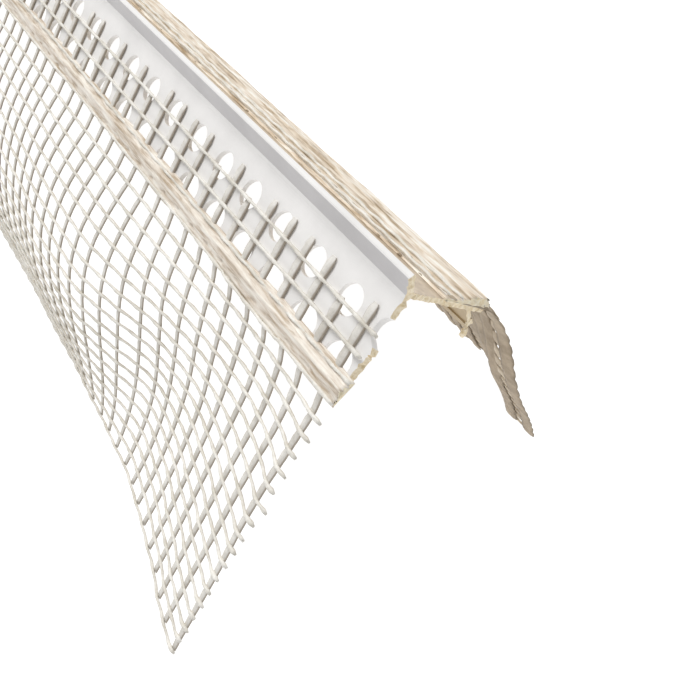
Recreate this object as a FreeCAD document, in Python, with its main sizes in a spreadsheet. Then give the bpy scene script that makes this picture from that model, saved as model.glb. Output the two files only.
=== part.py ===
"""Corner guard moulding: a perforated PVC angle with a raised nose and two glass-fibre mesh wings.

Frame: X along the length, the cut end that faces the viewer at +X, the perforated leg on
the -Y side, Z up. The moulding stands like a tent on the lower edges of its two wings.
All sizes are in millimetres and degrees.
"""

import FreeCAD, Part
import math
import os

import Sketcher
from FreeCAD import Placement, Rotation, Vector

# Driving sizes

SIZES = {
    # whole piece
    "bar_length": 2000.0,
    "corner_height": 80.0,
    # plastic angle
    "wall_thickness": 1.1,
    "left_slope": 45.0,
    "right_slope": 40.0,
    "left_reach": 21.5,
    "right_reach": 27.0,
    # raised nose on the corner
    "nose_height": 4.2,
    "nose_thickness": 1.4,
    # stiffening rib below the right leg
    "rib_distance": 22.8,
    "rib_thickness": 1.1,
    "rib_drop": 3.3,
    "rib_slope": 75.0,
    "foot_width": 1.8,
    "foot_depth": 1.6,
    # plaster holes in the left leg
    "hole_diameter": 6.0,
    "hole_pitch": 10.5,
    "upper_row_distance": 7.8,
    "lower_row_distance": 15.4,
    "end_hole_overrun": 2.6,
    "upper_hole_count": 190.0,
    "lower_hole_count": 189.0,
    "holes_per_fastening": 17.0,
    "fastening_count": 12.0,
    # glass-fibre mesh, as an even sheet: laps start back from a leg's free edge and end past it
    "mesh_width_step": 0.9,
    "left_lap_start": 5.3,
    "left_lap_end": 0.8,
    "right_lap_start": 15.5,
    "right_lap_end": 0.6,
    # glue over the mesh, from a start back from the leg's free edge to the lap's end
    "left_glue_start": 4.3,
    "left_glue_thickness": 0.9,
    "right_glue_start": 14.6,
    "right_glue_thickness": 1.1,
    "glue_ridge_width": 1.5,
    "glue_ridge_height": 0.5,
}

# How each wing hangs: distance from the near end, knee (out, down), fold (out, down), lower
# edge (out). The far station is measured from the far end.
LEFT_STATIONS = {
    "near": (0.0, 23.9, 28.1, 40.6, 53.2, 58.5),
    "flare": (12.0, 21.7, 30.6, 34.5, 50.0, 54.1),
    "bulge": (31.0, 21.6, 30.0, 30.8, 50.0, 49.8),
    "crease": (50.0, 23.4, 27.4, 33.0, 53.0, 46.9),
    "drop": (77.0, 31.3, 30.9, 39.1, 46.2, 45.7),
    "hang": (126.0, 31.5, 32.5, 41.3, 53.2, 44.5),
    "far": (0.0, 31.5, 32.5, 41.3, 53.2, 44.5),
}
RIGHT_STATIONS = {
    "near": (0.0, 28.2, 31.0, 33.6, 49.0, 50.4),
    "flare": (10.0, 28.8, 30.4, 37.0, 48.0, 54.4),
    "spread": (24.0, 29.4, 30.0, 39.6, 48.2, 57.2),
    "hang": (60.0, 30.0, 29.6, 41.0, 48.4, 58.5),
    "far": (0.0, 30.0, 29.6, 41.0, 48.4, 58.5),
}
STATION_PARTS = ("place", "knee_out", "knee_down", "fold_out", "fold_down", "edge_out")


class Term:
    """A size with the expression that keeps it bound to the sheet."""

    def __init__(self, value, text):
        self.value = value
        self.text = text

    def _join(self, other, sign, value):
        text = other.text if isinstance(other, Term) else repr(float(other))
        return Term(value, f"({self.text} {sign} {text})")

    def __add__(self, other):
        return self._join(other, "+", self.value + number(other))

    def __sub__(self, other):
        return self._join(other, "-", self.value - number(other))

    def __mul__(self, other):
        return self._join(other, "*", self.value * number(other))

    def __truediv__(self, other):
        return self._join(other, "/", self.value / number(other))

    def __neg__(self):
        return Term(-self.value, f"(0 - {self.text})")


def number(item):
    return item.value if isinstance(item, Term) else float(item)


def cosine(angle):
    return Term(math.cos(math.radians(angle.value)), f"cos({angle.text} * 1 deg)")


def sine(angle):
    return Term(math.sin(math.radians(angle.value)), f"sin({angle.text} * 1 deg)")


ZERO = Term(0.0, "0")


def fill_sheet(doc):
    """Put every driving size in the sheet and return the terms that read them."""
    sheet = doc.addObject("Spreadsheet::Sheet", "Sizes")
    values = dict(SIZES)
    for side, stations in (("left", LEFT_STATIONS), ("right", RIGHT_STATIONS)):
        for station, sizes in stations.items():
            for part, size in zip(STATION_PARTS, sizes):
                values[f"{side}_{station}_{part}"] = size
    terms = {}
    for row, (alias, value) in enumerate(values.items(), start=1):
        sheet.set(f"A{row}", alias)
        sheet.set(f"B{row}", str(value))
        sheet.setAlias(f"B{row}", alias)
        terms[alias] = Term(value, f"Sizes.{alias}")
    doc.recompute()
    return terms


def origin_plane(body, role):
    for feature in body.Origin.OriginFeatures:
        if feature.Role == role:
            return feature
    raise ValueError(f"{body.Label} has no {role}")


def new_sketch(body, name, role, offset=ZERO):
    """Attach a sketch to one of the body's own planes, moved along its normal."""
    sketch = body.newObject("Sketcher::SketchObject", name)
    sketch.AttachmentSupport = (origin_plane(body, role), [""])
    sketch.MapMode = "FlatFace"
    sketch.AttachmentOffset = Placement(Vector(0, 0, offset.value), Rotation())
    sketch.setExpression("AttachmentOffset.Base.z", offset.text)
    return sketch


def bind(sketch, kind, geometry, vertex, term):
    index = sketch.addConstraint(Sketcher.Constraint(kind, -1, 1, geometry, vertex, term.value))
    sketch.setExpression(f"Constraints[{index}]", term.text)


def draw_outline(sketch, points):
    """Draw a closed outline whose every corner follows the sheet."""
    count = len(points)
    for index in range(count):
        start = points[index]
        end = points[(index + 1) % count]
        line = Part.LineSegment(
            Vector(start[0].value, start[1].value, 0),
            Vector(end[0].value, end[1].value, 0),
        )
        sketch.addGeometry(line, False)
    for index in range(count):
        sketch.addConstraint(
            Sketcher.Constraint("Coincident", index, 2, (index + 1) % count, 1)
        )
    for index, (across, along) in enumerate(points):
        bind(sketch, "DistanceX", index, 1, across)
        bind(sketch, "DistanceY", index, 1, along)


def draw_hole(sketch, across, along, diameter):
    """Draw one round hole."""
    circle = Part.Circle(Vector(across.value, along.value, 0), Vector(0, 0, 1), diameter.value / 2)
    sketch.addGeometry(circle, False)
    bind(sketch, "DistanceX", 0, 3, across)
    bind(sketch, "DistanceY", 0, 3, along)
    index = sketch.addConstraint(Sketcher.Constraint("Diameter", 0, diameter.value))
    sketch.setExpression(f"Constraints[{index}]", diameter.text)


def new_body(doc, label, height, turn):
    """Make a body whose X axis is the length and that is turned about it."""
    body = doc.addObject("PartDesign::Body", label)
    body.Label = label
    body.Placement = Placement(Vector(0, 0, height.value), Rotation(Vector(1, 0, 0), turn.value))
    body.setExpression("Placement.Base.z", height.text)
    body.setExpression("Placement.Rotation.Angle", turn.text)
    return body


def pad_length(body, sketch, size):
    pad = body.newObject("PartDesign::Pad", f"{body.Label}_bar")
    pad.Profile = sketch
    pad.Length = size["bar_length"].value
    pad.setExpression("Length", size["bar_length"].text)
    return pad


def point_at(start, angle, distance, lift=ZERO):
    """Go along a line that falls by an angle, then square to it by lift."""
    across = start[0] + cosine(angle) * distance + sine(angle) * lift
    along = start[1] - sine(angle) * distance + cosine(angle) * lift
    return across, along


def profile_outline(size):
    """Section of the plastic angle, with its left leg lying level along -Y."""
    wall = size["wall_thickness"]
    right_fall = size["left_slope"] + size["right_slope"]
    half_nose = size["nose_thickness"] / 2
    up = Term(90.0, "90") - size["left_slope"]
    corner = (ZERO, ZERO)
    nose_left = -(half_nose / sine(up))
    crown_left = (
        nose_left + cosine(up) * size["nose_height"],
        sine(up) * size["nose_height"],
    )
    crown_right = (
        crown_left[0] + sine(up) * size["nose_thickness"],
        crown_left[1] - cosine(up) * size["nose_thickness"],
    )
    root_distance = size["nose_thickness"]
    leg_root = point_at(corner, right_fall, root_distance)
    leg_tip = point_at(corner, right_fall, size["right_reach"])
    leg_tip_under = point_at(corner, right_fall, size["right_reach"], -wall)
    rib_fall = size["left_slope"] + size["rib_slope"]
    rib_outer = point_at(corner, right_fall, size["rib_distance"], -wall)
    rib_width = size["rib_thickness"] / sine(rib_fall - right_fall)
    rib_inner = point_at(corner, right_fall, size["rib_distance"] - rib_width, -wall)
    foot_step = (size["foot_width"] - size["rib_thickness"]) / 2
    rib_outer_low = point_at(rib_outer, rib_fall, size["rib_drop"])
    foot_outer_top = point_at(rib_outer_low, rib_fall, ZERO, foot_step)
    foot_outer_low = point_at(foot_outer_top, rib_fall, size["foot_depth"])
    foot_inner_low = point_at(foot_outer_low, rib_fall, ZERO, -size["foot_width"])
    foot_inner_top = point_at(foot_inner_low, rib_fall, -size["foot_depth"])
    rib_inner_low = point_at(foot_inner_top, rib_fall, ZERO, foot_step)
    inner_corner = point_at(corner, right_fall / 2, ZERO, -(wall / cosine(right_fall / 2)))
    return [
        (-size["left_reach"], ZERO),
        (nose_left, ZERO),
        crown_left,
        crown_right,
        leg_root,
        leg_tip,
        leg_tip_under,
        rib_outer,
        rib_outer_low,
        foot_outer_top,
        foot_outer_low,
        foot_inner_low,
        foot_inner_top,
        rib_inner_low,
        rib_inner,
        inner_corner,
        (-size["left_reach"], -wall),
    ]


def first_hole_place(size):
    """Centre of the hole that the near cut runs through."""
    return size["bar_length"] / 2 + size["end_hole_overrun"]


def drill_fastening_holes(body, size):
    """Drill the holes of the upper row that take a nail or a dab of plaster at a fixing."""
    pitch = size["hole_pitch"]
    step = pitch * size["holes_per_fastening"]
    count = size["fastening_count"]
    sketch = new_sketch(body, "fastening_hole_shape", "XY_Plane")
    place = first_hole_place(size) - pitch
    draw_hole(sketch, place, -size["upper_row_distance"], size["hole_diameter"])
    pocket = body.newObject("PartDesign::Pocket", "fastening_hole")
    pocket.Profile = sketch
    pocket.Type = 0
    pocket.Length = size["wall_thickness"].value + 0.5
    pocket.setExpression("Length", f"{size['wall_thickness'].text} + 0.5")
    body.Document.recompute()
    row = body.newObject("PartDesign::LinearPattern", "fastening_holes")
    row.Originals = [pocket]
    row.Direction = (sketch, ["H_Axis"])
    row.Reversed = True
    span = step * (count - 1)
    row.Length = span.value
    row.setExpression("Length", span.text)
    row.Occurrences = int(count.value)
    row.setExpression("Occurrences", count.text)
    body.Document.recompute()
    body.Tip = row


def punch(place, distance, size):
    """Make one eight-sided punch that passes through the left leg where it lies level."""
    radius = size["hole_diameter"].value / 2
    wall = size["wall_thickness"].value
    corners = []
    for step in range(9):
        angle = math.radians(45 * (step + 0.5))
        across = place + radius * math.cos(angle)
        corners.append(Vector(across, radius * math.sin(angle) - distance, -1.5 * wall))
    return Part.Face(Part.makePolygon(corners)).extrude(Vector(0, 0, 2 * wall))


def punch_rows(doc, bar, size):
    """Punch the two staggered rows of plain holes, between the fastening holes."""
    pitch = size["hole_pitch"].value
    first = first_hole_place(size).value
    per_fastening = int(size["holes_per_fastening"].value)
    upper = size["upper_row_distance"].value
    lower = size["lower_row_distance"].value
    upper_row = []
    for index in range(int(size["upper_hole_count"].value)):
        if index % per_fastening != 1:
            upper_row.append(punch(first - pitch * index, upper, size))
    lower_row = []
    for index in range(int(size["lower_hole_count"].value)):
        lower_row.append(punch(first - pitch * (index + 0.5), lower, size))
    turned = bar.Placement
    shape = bar.Shape
    for row in (upper_row, lower_row):
        punches = Part.makeCompound(row)
        punches.Placement = turned
        shape = shape.cut(punches)
    profile = doc.addObject("Part::Feature", "pvc_corner_profile")
    profile.Label = "pvc_corner_profile"
    profile.Shape = shape
    profile.Placement = Placement(Vector(0, 0, 0), Rotation())
    return profile


def build_profile(doc, size):
    """Make the one-piece plastic angle with its nose, rib and two rows of holes."""
    bar = new_body(doc, "profile_bar", size["corner_height"], size["left_slope"])
    section = new_sketch(bar, "profile_section", "YZ_Plane", -(size["bar_length"] / 2))
    draw_outline(section, profile_outline(size))
    pad_length(bar, section, size)
    drill_fastening_holes(bar, size)
    doc.recompute()
    return punch_rows(doc, bar, size)


def glue_outline(start, end, base, thickness, size):
    """Section of a glue band: a flat bed with a ridge along each edge."""
    ridge = size["glue_ridge_width"]
    crest = base + thickness + size["glue_ridge_height"]
    bed = base + thickness
    return [
        (start, base),
        (end, base),
        (end, bed),
        (end - ridge / 2, crest),
        (end - ridge, bed),
        (start + ridge, bed),
        (start + ridge / 2, crest),
        (start, bed),
    ]


def build_glue(doc, size, side):
    """Make the glue band that holds one mesh wing on its leg."""
    slope = size[f"{side}_slope"]
    turn = slope if side == "left" else -slope
    body = new_body(doc, f"{side}_glue_band", size["corner_height"], turn)
    section = new_sketch(body, f"{side}_glue_section", "YZ_Plane", -(size["bar_length"] / 2))
    base = size["mesh_width_step"] * sine(slope)
    start = size[f"{side}_reach"] - size[f"{side}_glue_start"]
    end = size[f"{side}_reach"] + size[f"{side}_lap_end"]
    thickness = size[f"{side}_glue_thickness"]
    if side == "left":
        draw_outline(section, glue_outline(-end, -start, base, thickness, size))
    else:
        draw_outline(section, glue_outline(start, end, base, thickness, size))
    pad_length(body, section, size)
    return body


def wing_outline(size, side, station):
    """Section of one wing where it hangs, from its lap on the leg to its lower edge."""
    slope = size[f"{side}_slope"]
    step = size["mesh_width_step"]
    reach = size[f"{side}_reach"]
    corner = (ZERO, size["corner_height"])
    inner = [
        point_at(corner, slope, reach - size[f"{side}_lap_start"]),
        point_at(corner, slope, reach + size[f"{side}_lap_end"]),
        (
            size[f"{side}_{station}_knee_out"] - step,
            size["corner_height"] - size[f"{side}_{station}_knee_down"],
        ),
        (
            size[f"{side}_{station}_fold_out"] - step,
            size["corner_height"] - size[f"{side}_{station}_fold_down"],
        ),
        (size[f"{side}_{station}_edge_out"] - step, ZERO),
    ]
    outer = [(across + step, along) for across, along in inner]
    points = inner + outer[::-1]
    if side == "left":
        return [(-across, along) for across, along in points]
    return points


def build_wing(doc, size, side, stations):
    """Loft one mesh wing through the places where its hang was measured."""
    body = doc.addObject("PartDesign::Body", f"{side}_mesh_wing")
    body.Label = f"{side}_mesh_wing"
    body.Placement = Placement(Vector(0, 0, 0), Rotation())
    sketches = []
    for station in stations:
        place = size["bar_length"] / 2 - size[f"{side}_{station}_place"]
        if station == "far":
            place = size[f"{side}_{station}_place"] - size["bar_length"] / 2
        sketch = new_sketch(body, f"{side}_{station}_section", "YZ_Plane", place)
        draw_outline(sketch, wing_outline(size, side, station))
        sketches.append(sketch)
    loft = body.newObject("PartDesign::AdditiveLoft", f"{side}_wing_loft")
    loft.Profile = sketches[0]
    loft.Sections = sketches[1:]
    loft.Ruled = True
    loft.Closed = False
    body.Tip = loft
    return body


def check(doc, bodies):
    """Stop if any feature failed or any piece is not a sound single solid."""
    for item in doc.Objects:
        if "Invalid" in item.State or "Error" in item.State:
            raise RuntimeError(f"{item.Label} did not recompute: {item.State}")
    for body in bodies:
        shape = body.Shape
        if shape.isNull() or not shape.isValid() or len(shape.Solids) != 1:
            raise RuntimeError(f"{body.Label} is not one valid solid")


def main():
    doc = FreeCAD.newDocument("corner_guard_moulding")
    size = fill_sheet(doc)
    bodies = [
        build_profile(doc, size),
        build_glue(doc, size, "left"),
        build_glue(doc, size, "right"),
        build_wing(doc, size, "left", LEFT_STATIONS),
        build_wing(doc, size, "right", RIGHT_STATIONS),
    ]
    doc.recompute()
    check(doc, bodies)
    os.makedirs("parts", exist_ok=True)
    for body in bodies:
        body.Shape.exportStep(os.path.join("parts", f"{body.Label}.step"))
        box = body.Shape.BoundBox
        print(
            f"{body.Label}: {body.Shape.Volume / 1000:.1f} cm3, {len(body.Shape.Faces)} faces, "
            f"X {box.XMin:.1f}..{box.XMax:.1f} Y {box.YMin:.1f}..{box.YMax:.1f} "
            f"Z {box.ZMin:.1f}..{box.ZMax:.1f}"
        )


main()
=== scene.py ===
"""Corner guard moulding: a white PVC angle with two glass-fibre mesh wings glued to its legs.

Everything is placed in the frame of the CAD part, in metres: X runs along the moulding with the
cut end near the viewer at +X, the perforated leg lies on the -Y side, and Z is up from the floor.
Sizes in the classes below are in millimetres, because that is how such a moulding is drawn. A
distance is measured down a leg and its cloth from the corner, and a lift is square to the face.
"""

import logging
import math
from dataclasses import dataclass, field, replace
from enum import Enum, IntEnum

import bmesh
import bpy
import numpy as np
from mathutils import Euler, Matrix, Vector


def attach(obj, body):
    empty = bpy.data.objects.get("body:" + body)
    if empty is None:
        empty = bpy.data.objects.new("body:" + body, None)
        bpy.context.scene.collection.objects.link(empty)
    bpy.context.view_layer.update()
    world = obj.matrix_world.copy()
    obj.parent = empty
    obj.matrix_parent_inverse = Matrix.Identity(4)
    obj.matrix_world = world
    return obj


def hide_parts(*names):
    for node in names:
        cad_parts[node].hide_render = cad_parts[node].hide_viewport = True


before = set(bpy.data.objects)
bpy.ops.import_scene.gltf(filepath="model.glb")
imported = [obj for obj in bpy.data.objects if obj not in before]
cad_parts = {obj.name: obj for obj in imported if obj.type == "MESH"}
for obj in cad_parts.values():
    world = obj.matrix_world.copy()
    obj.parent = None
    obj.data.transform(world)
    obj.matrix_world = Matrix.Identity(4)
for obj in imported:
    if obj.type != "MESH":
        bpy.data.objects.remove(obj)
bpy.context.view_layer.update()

LOG = logging.getLogger("corner_guard_moulding")
MM = 0.001
Number = float | np.ndarray

# Sizes that several pieces share, in millimetres and degrees
NEAR_CUT = 1000.0
FAR_CUT = -1000.0
CORNER_HEIGHT = 80.0
LEFT_SLOPE = 45.0
RIGHT_SLOPE = 40.0
HOLE_PITCH = 10.5
FIRST_HOLE = 2.6  # centre of the upper row's first hole, past the near cut
WARP_PITCH = 4.5
WEFT_PITCH = 5.92
FIRST_WEFT = 3.4  # back from the near cut

# Up to here the yarns and the glue are built finely, as far as the camera sees them close to
DETAIL_END = NEAR_CUT - 260.0
CLOSE_SIDES = 6
FAR_SIDES = 4


class Side(Enum):
    """Which leg of the angle a piece belongs to, as the sign of its Y direction."""

    LEFT = -1.0
    RIGHT = 1.0

    @property
    def fall(self) -> float:
        """How steeply this leg falls from the corner, in radians."""
        return math.radians(LEFT_SLOPE if self is Side.LEFT else RIGHT_SLOPE)

    def point(self, distance: Number, lift: Number = 0.0) -> tuple[Number, Number]:
        """The (y, z) place a distance down this leg and lifted off its outer face."""
        sin, cos = math.sin(self.fall), math.cos(self.fall)
        across = distance * cos + lift * sin
        return self.value * across, CORNER_HEIGHT - distance * sin + lift * cos

    def unfold(self, y: float, z: float) -> tuple[float, float]:
        """Read a place as this leg measures it.

        Args:
            y: Its y.
            z: Its z.

        Returns:
            Its distance down the leg and its depth below the outer face.
        """
        sin, cos = math.sin(self.fall), math.cos(self.fall)
        out, drop = self.value * y, CORNER_HEIGHT - z
        return drop * sin + out * cos, drop * cos - out * sin


class PvcSlot(IntEnum):
    """The material slots of the plastic angle."""

    PLAIN = 0
    SAWN = 1
    INNER = 2
    SMEARED = 3
    NOSE = 4


# ==== Colours and nodes ====


def linear(hex_colour: str) -> tuple[float, float, float, float]:
    """Turn an sRGB hex colour into the linear colour that shaders take.

    Args:
        hex_colour: A colour such as "#e8e6e1".

    Returns:
        Red, green, blue and alpha, with alpha at one.
    """
    channels = [int(hex_colour[i : i + 2], 16) / 255.0 for i in (1, 3, 5)]
    channels = [c / 12.92 if c <= 0.04045 else ((c + 0.055) / 1.055) ** 2.4 for c in channels]
    return (channels[0], channels[1], channels[2], 1.0)


def add_node(
    tree: bpy.types.NodeTree, kind: str, settings: dict | None = None, links: dict | None = None
) -> bpy.types.Node:
    """Add one node with its settings and its incoming links.

    Args:
        tree: The node tree that gets the node.
        kind: The node's type name.
        settings: Properties by name, input values under "inputs" and hex colours by their
            place on a colour ramp under "ramp".
        links: Output sockets by the name or number of the input that they feed.

    Returns:
        The new node.
    """
    node = tree.nodes.new(kind)
    for name, value in (settings or {}).items():
        if name == "inputs":
            for key, item in value.items():
                node.inputs[key].default_value = item
        elif name == "ramp":
            stops = node.color_ramp.elements
            while len(stops) < len(value):
                stops.new(0.5)
            for stop, (place, colour) in zip(stops, value):
                stop.position = place
                stop.color = linear(colour)
        else:
            setattr(node, name, value)
    for key, socket in (links or {}).items():
        tree.links.new(socket, node.inputs[key])
    return node


@dataclass(frozen=True)
class Grain:
    """A noise pattern by its real size, which may be drawn out along the moulding."""

    size_mm: float
    detail: float = 2.0
    roughness: float = 0.5
    distortion: float = 0.0
    length_mm: float | None = None

    def add(self, tree: bpy.types.NodeTree) -> bpy.types.NodeSocket:
        """Add the pattern to a material.

        Args:
            tree: The material's node tree.

        Returns:
            The socket that gives the pattern's value.
        """
        place = add_node(tree, "ShaderNodeTexCoord").outputs["Object"]
        if self.length_mm:
            squeeze = {"inputs": {"Scale": (self.size_mm / self.length_mm, 1.0, 1.0)}}
            place = add_node(tree, "ShaderNodeMapping", squeeze, {"Vector": place}).outputs[0]
        values = {"Scale": 1.0 / (self.size_mm * MM), "Detail": self.detail,
                  "Roughness": self.roughness, "Distortion": self.distortion}
        noise = add_node(tree, "ShaderNodeTexNoise", {"inputs": values}, {"Vector": place})
        return noise.outputs["Fac"]


@dataclass(frozen=True)
class Finish:
    """A gloss, colours along one grain, fine relief by another and perhaps painted shade on one
    flank.
    """

    name: str
    roughness: float
    ior: float
    colours: tuple[str, ...]
    stops: tuple[float, ...]
    grain: Grain
    fine: Grain
    relief: float
    relief_mm: float
    flank_shade: str | None = None

    def made(self) -> bpy.types.Material:
        """Give the material, which is made the first time it is asked for."""
        return bpy.data.materials.get(self.name) or self.build()

    def paint_side_shade(self, tree: bpy.types.NodeTree, colour: bpy.types.NodeSocket) -> bpy.types.NodeSocket:
        """Paint shade on the side that faces the near end, which is turned away from the light.

        Args:
            tree: The material's node tree.
            colour: The socket that gives the plain colour.

        Returns:
            The socket that gives the colour with its painted shade.
        """
        # Painted shade: faces turned towards +X take the flank colour
        facing = add_node(tree, "ShaderNodeNewGeometry").outputs["Normal"]
        split = add_node(tree, "ShaderNodeSeparateXYZ", links={"Vector": facing})
        fade = {"inputs": {"From Min": 0.35, "From Max": 0.8}}
        share = add_node(tree, "ShaderNodeMapRange", fade, {"Value": split.outputs["X"]})
        # The mix node's inputs 0, 6 and 7 are its factor and its two colours
        flank_shade = {"data_type": "RGBA", "inputs": {7: linear(self.flank_shade)}}
        links = {0: share.outputs["Result"], 6: colour}
        return add_node(tree, "ShaderNodeMix", flank_shade, links).outputs[2]

    def build(self) -> bpy.types.Material:
        """Make the material.

        Returns:
            The new material.
        """
        material = bpy.data.materials.new(self.name)
        material.use_nodes = True
        tree = material.node_tree
        tree.nodes.clear()
        ramp = {"ramp": list(zip(self.stops, self.colours))}
        tint = add_node(tree, "ShaderNodeValToRGB", ramp, {"Fac": self.grain.add(tree)})
        colour = tint.outputs["Color"]
        # Painted shade on the flank that faces the near end
        if self.flank_shade:
            colour = self.paint_side_shade(tree, colour)
        depth = {"inputs": {"Strength": self.relief, "Distance": self.relief_mm * MM}}
        bump = add_node(tree, "ShaderNodeBump", depth, {"Height": self.fine.add(tree)})
        shader = add_node(
            tree,
            "ShaderNodeBsdfPrincipled",
            {"inputs": {"Roughness": self.roughness, "IOR": self.ior}},
            {"Base Color": colour, "Normal": bump.outputs["Normal"]},
        )
        add_node(tree, "ShaderNodeOutputMaterial", links={"Surface": shader.outputs["BSDF"]})
        return material


# Rigid PVC as it leaves the die: satin; clouds read as thick resin, long fine lines as die marks
PVC = Finish(
    "extruded_white_pvc", 0.42, 1.53, ("#e9e7e5", "#f8f6f4"), (0.30, 0.72), Grain(16.0, 6.0, 0.65),
    fine=Grain(0.35, length_mm=35.0), relief=0.12, relief_mm=0.1,
)
# The right leg's inner face and the rib hang in shade: their brown is painted shade
PVC_INNER_SHADE = replace(PVC, name="painted_shade_inner_face_pvc", roughness=0.5, colours=("#a08a68", "#c3b08f"))
PVC_SMEARED = replace(
    PVC, name="glue_smeared_pvc", roughness=0.4, colours=("#a8937a", "#e2d2ba"),
    grain=Grain(3.0, 6.0, 0.65),
)
# The nose's left side stands upright, turned away from the light: its darker grey is painted shade
PVC_NOSE_SHADE = replace(PVC, name="painted_shade_nose_side_pvc", roughness=0.45, colours=("#c5c3c4", "#d4d2d3"))

# Sawn ends: yellower and dull; the blade's torn grain makes them look cut and not moulded
TORN = Grain(0.9, 5.0, 0.7)
COARSE_TORN = Grain(1.4, 5.0, 0.7)
PVC_CUT = Finish(
    "sawn_white_pvc", 0.75, 1.53, ("#dcc79c", "#fbeed4"), (0.34, 0.58), TORN,
    fine=TORN, relief=0.6, relief_mm=0.4,
)
GLUE_CUT = replace(
    PVC_CUT, name="cut_hot_melt_glue", roughness=0.6, ior=1.49, colours=("#ead8b0", "#fff6de"),
    grain=COARSE_TORN, fine=COARSE_TORN,
)

# Hot-melt glue under a wet-looking skin: tan and cream streaks show the way it was drawn
STREAK = Grain(0.9, 4.0, 0.6, 0.25, 7.0)
BROAD_STREAK = Grain(1.3, 4.0, 0.6, 0.25, 9.0)
LEFT_GLUE = Finish(
    "drawn_hot_melt_glue_left", 0.34, 1.49, ("#b7a389", "#e3d8ca", "#f7f1e6"), (0.34, 0.50, 0.64),
    STREAK, fine=STREAK, relief=0.55, relief_mm=0.5,
)
RIGHT_GLUE = replace(
    LEFT_GLUE, name="drawn_hot_melt_glue_right", roughness=0.36,
    colours=("#a8906f", "#e6d6c0", "#fdf8ee"), grain=BROAD_STREAK, fine=BROAD_STREAK,
)

# Glass-fibre yarn stiffened with resin: patches read as thick and thin resin, and the fine
# filaments catch the light. The right wing's hanging yarns are darker tan: some stain from its
# glue, and painted shade of its inner side, which hangs in shade.
WARP_YARN = Finish(
    "twisted_glass_yarn", 0.5, 1.52, ("#d3cdc0", "#f6f3ec"), (0.32, 0.62), Grain(5.0, 5.0, 0.7),
    fine=Grain(0.3), relief=0.5, relief_mm=0.2,
)
# The flat roving's flank that faces the near end is painted darker, as shade
WEFT_YARN = replace(
    WARP_YARN, name="flat_glass_roving", roughness=0.6, colours=("#cdc8bf", "#ebe8e2"),
    grain=Grain(4.0, 5.0, 0.7), flank_shade="#b3a899",
)
# Right wing: glue stain and painted shade in one darker tan colour
TAN_SHADED_WARP_YARN = replace(
    WARP_YARN, name="glue_stain_and_painted_shade_twisted_yarn", colours=("#a08d74", "#d3c4ac")
)
TAN_SHADED_WEFT_YARN = replace(
    WEFT_YARN, name="glue_stain_and_painted_shade_flat_roving", colours=("#8b7a64", "#b5a48c"), flank_shade=None
)


# ==== Meshes ====


@dataclass
class MeshMaker:
    """Collects points and faces in millimetres and turns them into one piece."""

    name: str
    blocks: list[np.ndarray] = field(default_factory=list)
    faces: list[tuple[int, ...]] = field(default_factory=list)
    slots: list[int] = field(default_factory=list)
    count: int = 0

    def add(self, points: np.ndarray, faces: list[tuple[int, ...]], slot: int = 0) -> None:
        """Add a block of points with faces that count from the block's first point.

        Args:
            points: N by 3 places in millimetres.
            faces: Corner numbers of each face.
            slot: The material slot of these faces.
        """
        base = self.count
        self.blocks.append(np.asarray(points, float).reshape(-1, 3))
        self.faces.extend(tuple(base + i for i in face) for face in faces)
        self.slots.extend([slot] * len(faces))
        self.count += len(self.blocks[-1])

    def piece(self, materials: list[bpy.types.Material], smooth: bool = True) -> bpy.types.Object:
        """Make the object in metres, with its materials.

        Args:
            materials: The materials by slot.
            smooth: Whether the faces are shaded smooth.

        Returns:
            The new object, linked to the scene.
        """
        mesh = bpy.data.meshes.new(self.name)
        mesh.from_pydata((np.concatenate(self.blocks) * MM).tolist(), [], self.faces)
        for material in materials:
            mesh.materials.append(material)
        mesh.polygons.foreach_set("material_index", self.slots)
        mesh.polygons.foreach_set("use_smooth", [smooth] * len(mesh.polygons))
        mesh.update()
        item = bpy.data.objects.new(self.name, mesh)
        bpy.context.scene.collection.objects.link(item)
        return item


def turned(faces: list[tuple[int, ...]]) -> list[tuple[int, ...]]:
    """Give the same faces looking the other way."""
    return [tuple(reversed(face)) for face in faces]


def ring_faces(rings: int, sides: int, closed: bool = True) -> list[tuple[int, ...]]:
    """Join successive rings of points with faces.

    Args:
        rings: How many rings follow each other.
        sides: Points in each ring.
        closed: Whether the ring's last point joins its first.

    Returns:
        Quads, and then the first and the last end cap where the ring is closed.
    """
    faces = []
    last = sides if closed else sides - 1
    for ring in range(rings - 1):
        low, high = ring * sides, (ring + 1) * sides
        for side in range(last):
            after = (side + 1) % sides
            faces.append((low + side, low + after, high + after, high + side))
    if closed:
        faces.append(tuple(reversed(range(sides))))
        faces.append(tuple((rings - 1) * sides + side for side in range(sides)))
    return faces


def strand(
    path: np.ndarray,
    lift: np.ndarray,
    half_width: np.ndarray,
    half_height: np.ndarray,
    sides: int,
    turns: np.ndarray | None = None,
) -> tuple[np.ndarray, list[tuple[int, ...]]]:
    """Build one yarn along a path as an oval tube that may twist.

    Args:
        path: N by 3 points of its centre line.
        lift: N by 3 directions square to the cloth.
        half_width: Half its width at each point, across the cloth's plane.
        half_height: Half its height at each point.
        sides: Points round its section.
        turns: How far its section is turned at each point, in radians.

    Returns:
        Its points and faces.
    """
    along = np.gradient(path, axis=0)
    along /= np.linalg.norm(along, axis=1)[:, None]
    across = np.cross(along, lift)
    across /= np.linalg.norm(across, axis=1)[:, None]
    up = np.cross(across, along)
    angle = np.arange(sides) * 2 * math.pi / sides
    if turns is None:
        turns = np.zeros(len(path))
    oval_x = np.cos(angle)[None, :] * half_width[:, None]
    oval_y = np.sin(angle)[None, :] * half_height[:, None]
    cos, sin = np.cos(turns)[:, None], np.sin(turns)[:, None]
    sideways = oval_x * cos - oval_y * sin
    upward = oval_x * sin + oval_y * cos
    points = path[:, None, :] + sideways[:, :, None] * across[:, None, :]
    points = points + upward[:, :, None] * up[:, None, :]
    return points.reshape(-1, 3), ring_faces(len(path), sides)


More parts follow.
